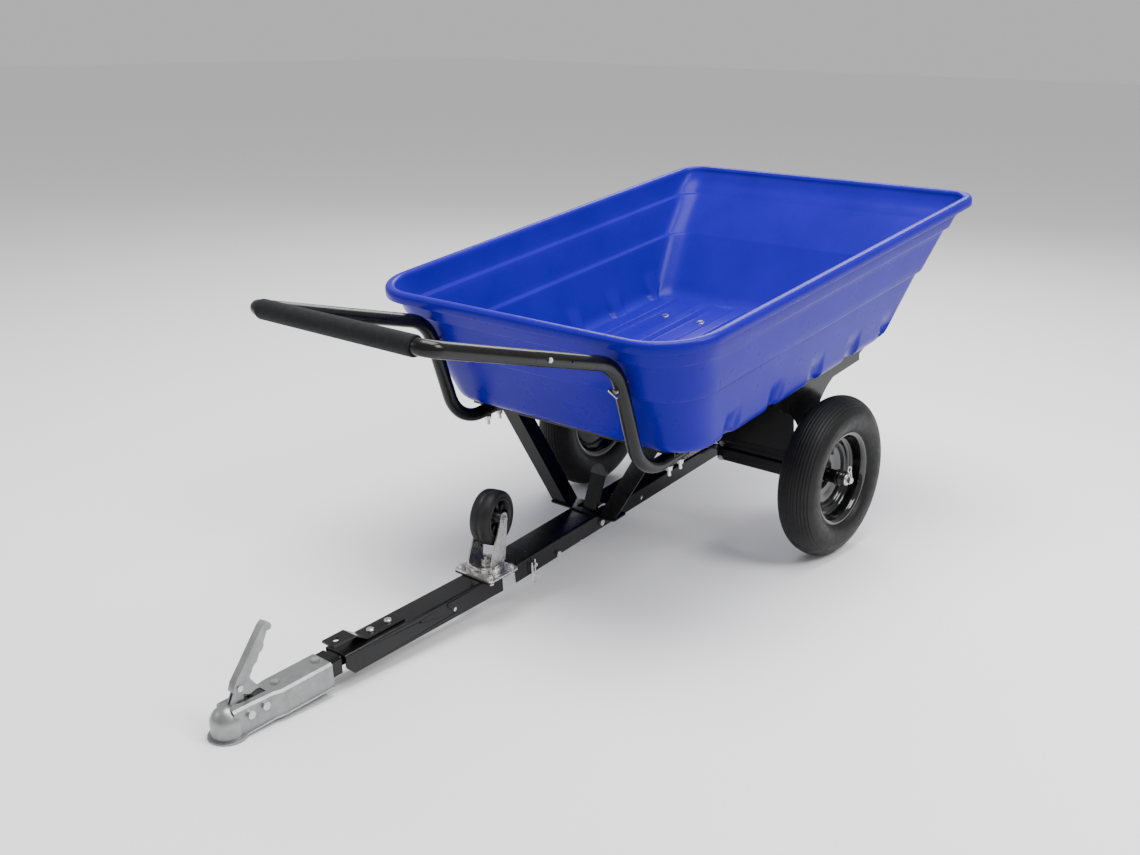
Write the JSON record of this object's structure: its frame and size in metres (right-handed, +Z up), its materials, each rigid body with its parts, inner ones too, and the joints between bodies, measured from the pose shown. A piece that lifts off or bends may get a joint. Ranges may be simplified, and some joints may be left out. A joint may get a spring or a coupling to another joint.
{
  "type": "garden cart",
  "caption": "Two-wheeled garden cart with a tipping poly tub, tubular push handle, and a folding tongue that carries a ball coupler and a swivel caster.",
  "frame": {"origin": "on the ground, under the middle of the cart's box", "axes": "+X across the cart towards its right wheel, -Y forward towards the coupler, +Y to the tub's tail, +Z up"},
  "size_m": [0.913, 2.0767, 0.8468],
  "materials": {
    "tub_plastic": "gloss",
    "black_paint": "gloss",
    "zinc": "satin",
    "coupler_silver": "satin",
    "tyre_rubber": "matte",
    "rim_paint": "gloss",
    "grip_foam": "matte",
    "vinyl_cap": "satin",
    "caster_rubber": "matte",
    "core_plastic": "satin",
    "bearing_steel": "satin"
  },
  "bodies": {
    "chassis": {"drawbar_channel": "black_paint", "axle_rod": "zinc", "left_axle_beam": "black_paint", "right_axle_beam": "black_paint", "beam_bolts": "zinc", "axle_washers": "zinc", "axle_clips": "zinc", "tongue_pivot_bolt": "zinc", "latch_bolt": "zinc"},
    "tub_body": {"tub": "tub_plastic", "floor_bolts": "zinc", "floor_washers": "zinc", "front_rail": "black_paint", "rear_rail": "black_paint", "left_side_frame": "black_paint", "right_side_frame": "black_paint", "cross_panel": "black_paint", "left_strut": "black_paint", "right_strut": "black_paint", "strut_foot": "black_paint", "left_handle_tube": "black_paint", "right_handle_tube": "black_paint", "push_handle": "black_paint", "handle_grip": "grip_foam", "handle_screws": "zinc", "clamp_bolts": "zinc", "stay_wing_bolts": "zinc"},
    "left_wheel": {"left_tyre": "tyre_rubber", "left_rim": "rim_paint", "left_hub": "black_paint", "left_bearings": "bearing_steel", "left_valve": "core_plastic"},
    "right_wheel": {"right_tyre": "tyre_rubber", "right_rim": "rim_paint", "right_hub": "black_paint", "right_bearings": "bearing_steel", "right_valve": "core_plastic"},
    "tongue": {"tongue_tube": "black_paint", "pivot_barrel": "black_paint", "tongue_sleeve": "black_paint", "hitch_plate": "black_paint", "hitch_bolts": "zinc", "coupler_spigot": "black_paint", "coupler_body": "coupler_silver", "coupler_bolts": "zinc", "coupler_rivets": "zinc", "caster_mount_plate": "black_paint", "caster_swivel_plate": "zinc", "caster_plate_bolts": "zinc", "caster_king_nut": "zinc"},
    "coupler_handle": {"coupler_lever": "coupler_silver"},
    "jaw": {"ball_jaw": "zinc"},
    "swivel_fork": {"caster_fork": "zinc", "caster_axle_bolt": "zinc"},
    "caster_wheel": {"caster_tyre": "caster_rubber", "caster_core": "core_plastic"},
    "latch": {"latch_lever": "black_paint", "latch_cap": "vinyl_cap"},
    "pull_pin": {"lock_pin": "zinc", "lock_clip": "zinc"}
  },
  "joints": [
    {"name": "left_wheel_spin", "type": "hinge", "parent": "chassis", "child": "left_wheel", "pos_m": [-0.3785, 0.4957, 0.2], "axis": [1, 0, 0], "continuous": true},
    {"name": "right_wheel_spin", "type": "hinge", "parent": "chassis", "child": "right_wheel", "pos_m": [0.3785, 0.4957, 0.2], "axis": [1, 0, 0], "continuous": true},
    {"name": "tub_tip", "type": "hinge", "parent": "chassis", "child": "tub_body", "pos_m": [0, 0.4957, 0.2], "axis": [-1, 0, 0], "range_deg": [0, 60]},
    {"name": "tongue_fold", "type": "hinge", "parent": "chassis", "child": "tongue", "pos_m": [0, -0.13265, 0.09542], "axis": [1, 0, 0], "range_deg": [0, 183]},
    {"name": "lock_pin_pull", "type": "slide", "parent": "tongue", "child": "pull_pin", "axis": [1, 0, 0], "range_m": [0, 0.11]},
    {"name": "coupler_lever_swing", "type": "hinge", "parent": "tongue", "child": "coupler_handle", "pos_m": [0, -0.97549, 0.08968], "axis": [-1, 0, 0], "range_deg": [0, 50]},
    {"name": "ball_jaw_swing", "type": "hinge", "parent": "tongue", "child": "jaw", "pos_m": [0, -0.9521, 0.04427], "axis": [-1, 0, 0], "range_deg": [0, 10]},
    {"name": "caster_swivel", "type": "hinge", "parent": "tongue", "child": "swivel_fork", "pos_m": [0, -0.32407, 0.12147], "axis": [0, -0.0732, 0.9973], "continuous": true},
    {"name": "caster_wheel_spin", "type": "hinge", "parent": "swivel_fork", "child": "caster_wheel", "pos_m": [-0.00765, -0.29813, 0.22064], "axis": [0.9744, 0.2243, 0.0165], "continuous": true},
    {"name": "latch_press", "type": "hinge", "parent": "chassis", "child": "latch", "pos_m": [0, 0.02223, 0.12608], "axis": [-1, 0, 0], "range_deg": [0, 25], "stiffness_Nm_per_rad": 1.2, "springref_deg": -28.65}
  ],
  "couplings": [
    {"joint": "ball_jaw_swing", "follows": "coupler_lever_swing", "ratio": 0.2}
  ]
}
